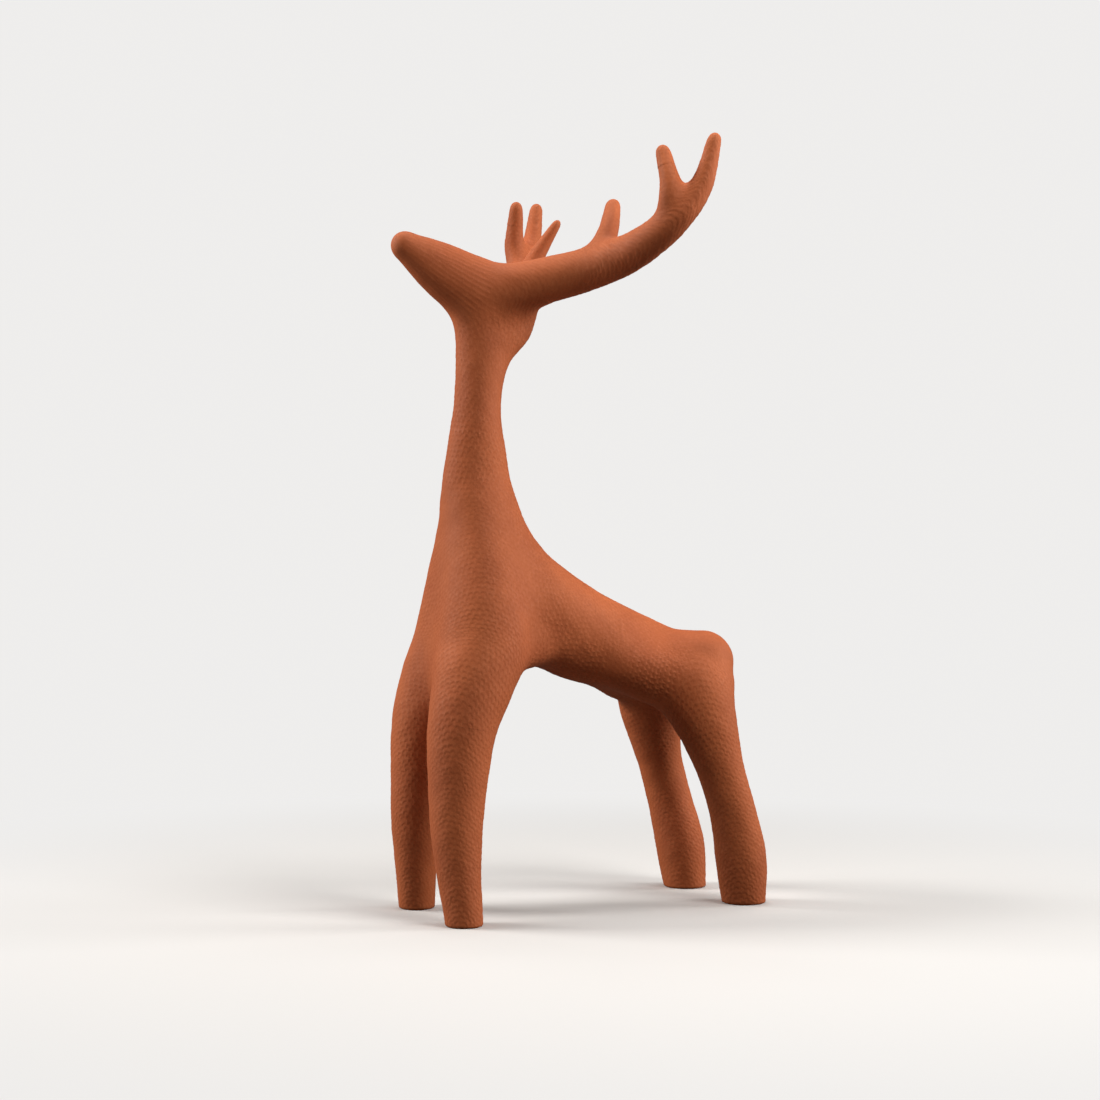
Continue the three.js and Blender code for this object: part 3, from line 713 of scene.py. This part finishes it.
TINE_FOOT = 6.5  # the reach of the knife at a prong's foot, mm
LONG = 80  # the reach of the knife that takes in all of a beam's inner end, mm
for beam_joint, brow, fork, side in zip(beam_joints, brow_tines, fork_tines, ("left", "right")):
    brow_joint, fork_joint = joint_at(brow, 1), joint_at(fork, 1.2)
    for member, cuts in (
            ("antler_beam", [(beam_joint[0], -beam_joint[1], LONG), (*brow_joint, TINE_FOOT),
                             (*fork_joint, TINE_FOOT)]),
            ("brow_tine", [(brow_joint[0], -brow_joint[1], WHOLE)]),
            ("fork_tine", [(fork_joint[0], -fork_joint[1], WHOLE)])):
        node = f"{side}_{member}"
        finish_piece(clay_piece(f"{node}_skin", node, head_clay, cuts), node, body_terracotta)

# Stage: no part of the figure. A pale matte floor that runs on into a pale room, five soft square lamps, and
# a camera that stands where the photograph's stood.

PALE = (0.86, 0.85, 0.84, 1)  # the room, as the camera sees it
FLOOR_SEEN = (0.75, 0.745, 0.74, 1)
FLOOR_UNSEEN = (0.12, 0.11, 0.1, 1)  # the floor as it lights the figure, dark as the ground in the photograph
bpy.ops.mesh.primitive_circle_add(vertices=96, radius=6, fill_type="NGON", location=(0, 0, 0))
floor = bpy.context.object
floor.name = "floor"
surface = bpy.data.materials.new("pale_floor")
surface.use_nodes = True
tree = surface.node_tree
matte = tree.nodes["Principled BSDF"]
seen = add_node(tree, "ShaderNodeLightPath")
shade = dabbed(tree, seen.outputs["Is Camera Ray"], FLOOR_UNSEEN, FLOOR_SEEN)
tree.links.new(shade, matte.inputs["Base Color"])
matte.inputs["Roughness"].default_value = 0.6
matte.inputs["Specular IOR Level"].default_value = 0.2
far = add_node(tree, "ShaderNodeEmission", [("Color", PALE), ("Strength", 1.0)])
place = add_node(tree, "ShaderNodeTexCoord").outputs["Object"]
distance = add_node(tree, "ShaderNodeVectorMath", [(0, place)], operation="LENGTH")
fade = add_node(tree, "ShaderNodeMapRange", [("Value", distance.outputs["Value"]), ("From Min", 0.1),
                ("From Max", 0.42)], interpolation_type="SMOOTHSTEP")
only_seen = times(tree, fade.outputs[0], seen.outputs["Is Camera Ray"])
mixed = add_node(tree, "ShaderNodeMixShader", [(0, only_seen), (1, matte.outputs[0]), (2, far.outputs[0])])
tree.links.new(mixed.outputs[0], tree.nodes["Material Output"].inputs["Surface"])
floor.data.materials.append(surface)
floor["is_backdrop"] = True

world = bpy.data.worlds.new("room")
bpy.context.scene.world = world
world.use_nodes = True
tree = world.node_tree
light = tree.nodes["Background"]
light.inputs["Color"].default_value = (1, 0.98, 0.96, 1)
light.inputs["Strength"].default_value = 0.02
wall = add_node(tree, "ShaderNodeBackground", [("Color", PALE), ("Strength", 1.0)])
seen = add_node(tree, "ShaderNodeLightPath")
mixed = add_node(tree, "ShaderNodeMixShader", [(0, seen.outputs["Is Camera Ray"]), (1, light.outputs[0]),
                 (2, wall.outputs[0])])
tree.links.new(mixed.outputs[0], tree.nodes["World Output"].inputs["Surface"])

FRAME_PIXELS = 1100
FOCAL_PIXELS = 1936  # the camera's focal length, in pixels of the frame
view_turn, view_rise = math.radians(63.52), math.radians(1.02)
looking = Vector((-math.sin(view_turn) * math.cos(view_rise), math.cos(view_turn) * math.cos(view_rise),
                  math.sin(view_rise)))
rightward = Vector((math.cos(view_turn), math.sin(view_turn), 0))
camera = bpy.data.objects.new("camera", bpy.data.cameras.new("camera"))
bpy.context.scene.collection.objects.link(camera)
camera.location = (0.6978, -0.35615, 0.1296)
camera.rotation_euler = looking.to_track_quat("-Z", "Y").to_euler()
camera.data.sensor_width = 36
camera.data.lens = FOCAL_PIXELS * 36 / FRAME_PIXELS
camera.data.clip_start = 0.01
bpy.context.scene.camera = camera


def soft_lamp(name, rightwards, towards_camera, up, size, power, tint):
    """A large square lamp that looks at the figure's middle; distances in metres from it."""
    lamp = bpy.data.objects.new(name, bpy.data.lights.new(name, "AREA"))
    lamp.data.shape = "SQUARE"
    lamp.data.size = size
    lamp.data.energy = power
    lamp.data.color = tint
    middle = Vector((0, 0, 0.14))
    ahead = Vector((looking.x, looking.y, 0))
    lamp.location = middle + rightward * rightwards - ahead * towards_camera + Vector((0, 0, up))
    lamp.rotation_euler = (middle - lamp.location).to_track_quat("-Z", "Y").to_euler()
    bpy.context.scene.collection.objects.link(lamp)


WARM = (1, 0.965, 0.92)
soft_lamp("low_left_softbox", -0.92, 0.16, 0.165, 0.35, 2.8, WARM)
soft_lamp("left_softbox", -0.775, -0.07, 0.545, 0.35, 6.2, WARM)
soft_lamp("near_softbox", 0.35, 0.35, 0.42, 0.3, 2.7, WARM)
soft_lamp("right_softbox", 0.915, -0.08, 0.245, 0.35, 5.2, WARM)
soft_lamp("top_softbox", 0.0, -0.07, 0.95, 0.35, 4.0, (1, 0.98, 0.96))
bpy.context.scene.view_settings.view_transform = "Standard"

low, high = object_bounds()
